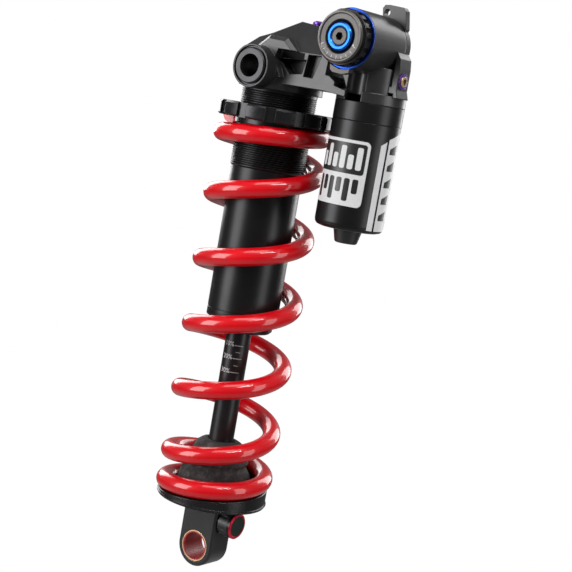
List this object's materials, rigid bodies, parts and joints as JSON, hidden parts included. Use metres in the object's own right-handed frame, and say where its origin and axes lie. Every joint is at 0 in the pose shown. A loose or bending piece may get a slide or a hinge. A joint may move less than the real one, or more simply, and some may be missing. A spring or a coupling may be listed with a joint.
{
  "type": "rear shock",
  "caption": "Coil-sprung bicycle rear damper with a piggyback reservoir, threaded preload collar, damping dials and an eye at each end.",
  "frame": {"origin": "centre of the lower eye's bore, midway across its width", "axes": "+Z along the shaft to the upper eye, +Y along both eyes' bores, +X towards the reservoir"},
  "size_m": [0.0947, 0.0619, 0.2763],
  "materials": {
    "cast_black": "dark cast and machined alloy, satin black anodised",
    "tube_black": "turned alloy tube, semi-gloss black anodised",
    "collar_black": "satin black anodised with turned faces",
    "coil_red": "gloss red powder coat",
    "shaft_black": "polished black hard coat",
    "foam": "microcellular foam, matt",
    "seal_rubber": "moulded seal rubber",
    "steel": "ground steel",
    "brass": "turned brass",
    "liner_red": "dark red bearing liner",
    "bearing_polymer": "filled bearing polymer",
    "purple": "purple anodised",
    "blue": "blue anodised",
    "knob_red": "red anodised",
    "dial_grey": "turned dark grey anodised face",
    "plastic_black": "ribbed moulded plastic",
    "gold": "gold plated screw"
  },
  "bodies": {
    "damper": {"body_tube": "tube_black", "damper_head": "cast_black", "seal_head": "tube_black", "shaft_wiper": "seal_rubber", "shaft_seal": "seal_rubber", "shaft_bush": "bearing_polymer", "seal_head_o_ring": "seal_rubber", "upper_eye_bush": "bearing_polymer", "bleed_screw": "purple", "barrel_blue_ring": "blue", "base_valve_piston": "steel", "base_valve_seat": "brass", "base_valve_shims": "steel", "index_plate": "dial_grey", "side_bracket": "cast_black", "bracket_washer": "purple", "bracket_screw": "gold", "lever_pivot_screw": "steel", "reservoir_tube": "tube_black", "reservoir_end_cap": "tube_black", "end_cap_o_ring": "seal_rubber", "fill_valve": "brass", "fill_valve_cap": "plastic_black", "coil_spring": "coil_red"},
    "shaft": {"damper_shaft": "shaft_black", "lower_eye": "cast_black", "lower_eye_bush": "brass", "lower_eye_liner": "liner_red", "lower_spring_plate": "collar_black", "plate_circlip": "steel", "bump_stop": "foam", "main_piston": "steel", "piston_band": "bearing_polymer", "piston_nut": "steel", "rebound_shims": "steel", "compression_shims": "steel", "top_out_bumper": "seal_rubber", "detent_ball": "steel"},
    "rebound_dial": {"rebound_knob": "plastic_black", "rebound_knob_ring": "knob_red", "rebound_knob_disc": "dial_grey"},
    "rebound_needle": {"rebound_rod": "steel"},
    "eye_sleeve": {"upper_eye_sleeve": "collar_black"},
    "spring_ring": {"spring_centring_ring": "collar_black"},
    "collar": {"preload_collar": "collar_black", "collar_lock_screw": "steel"},
    "low_speed": {"low_speed_dial": "dial_grey"},
    "low_speed_valve": {"low_speed_needle": "steel"},
    "high_speed": {"high_speed_ring": "blue", "high_speed_disc": "dial_grey"},
    "lever": {"lockout_lever": "cast_black"},
    "gas_piston": {"floating_piston": "steel", "floating_piston_seal": "seal_rubber", "floating_piston_band": "bearing_polymer"}
  },
  "joints": [
    {"name": "shaft_slide", "type": "slide", "parent": "damper", "child": "shaft", "axis": [0, 0, 1], "range_m": [0, 0.065], "stiffness_N_per_m": 70000, "springref_m": -0.003, "deforming": ["coil_spring", "bump_stop"]},
    {"name": "gas_piston_slide", "type": "slide", "parent": "damper", "child": "gas_piston", "axis": [0, 0, -1], "range_m": [0, 0.0125]},
    {"name": "rebound_turn", "type": "hinge", "parent": "shaft", "child": "rebound_dial", "pos_m": [0, 0, 0.0144], "axis": [1, 0, 0], "range_deg": [0, 300]},
    {"name": "rebound_needle_slide", "type": "slide", "parent": "shaft", "child": "rebound_needle", "axis": [0, 0, 1], "range_m": [0, 0.002]},
    {"name": "eye_sleeve_turn", "type": "hinge", "parent": "damper", "child": "eye_sleeve", "pos_m": [0, 0, 0.23], "axis": [0, 1, 0], "continuous": true},
    {"name": "collar_lift", "type": "slide", "parent": "damper", "child": "spring_ring", "axis": [0, 0, 1], "range_m": [0, 0.00605]},
    {"name": "collar_turn", "type": "hinge", "parent": "spring_ring", "child": "collar", "pos_m": [0, 0, 0.2097], "axis": [0, 0, 1], "range_deg": [0, 2160]},
    {"name": "low_speed_turn", "type": "hinge", "parent": "damper", "child": "low_speed", "pos_m": [0.0499, -0.03, 0.2477], "axis": [0, -1, 0], "range_deg": [0, 300]},
    {"name": "low_speed_needle_slide", "type": "slide", "parent": "damper", "child": "low_speed_valve", "axis": [0, 1, 0], "range_m": [0, 0.0031]},
    {"name": "high_speed_turn", "type": "hinge", "parent": "damper", "child": "high_speed", "pos_m": [0.0499, -0.03, 0.2477], "axis": [0, -1, 0], "range_deg": [0, 150]},
    {"name": "lever_turn", "type": "hinge", "parent": "damper", "child": "lever", "pos_m": [0.0499, 0.003, 0.2477], "axis": [0, 1, 0], "range_deg": [0, 42]}
  ],
  "couplings": [
    {"joint": "gas_piston_slide", "follows": "shaft_slide", "ratio": 0.18633},
    {"joint": "rebound_turn", "follows": "rebound_needle_slide", "rad_per_m": 2617.8},
    {"joint": "collar_lift", "follows": "collar_turn", "m_per_rad": 0.00015915},
    {"joint": "low_speed_needle_slide", "follows": "low_speed_turn", "m_per_rad": 0.000573}
  ]
}
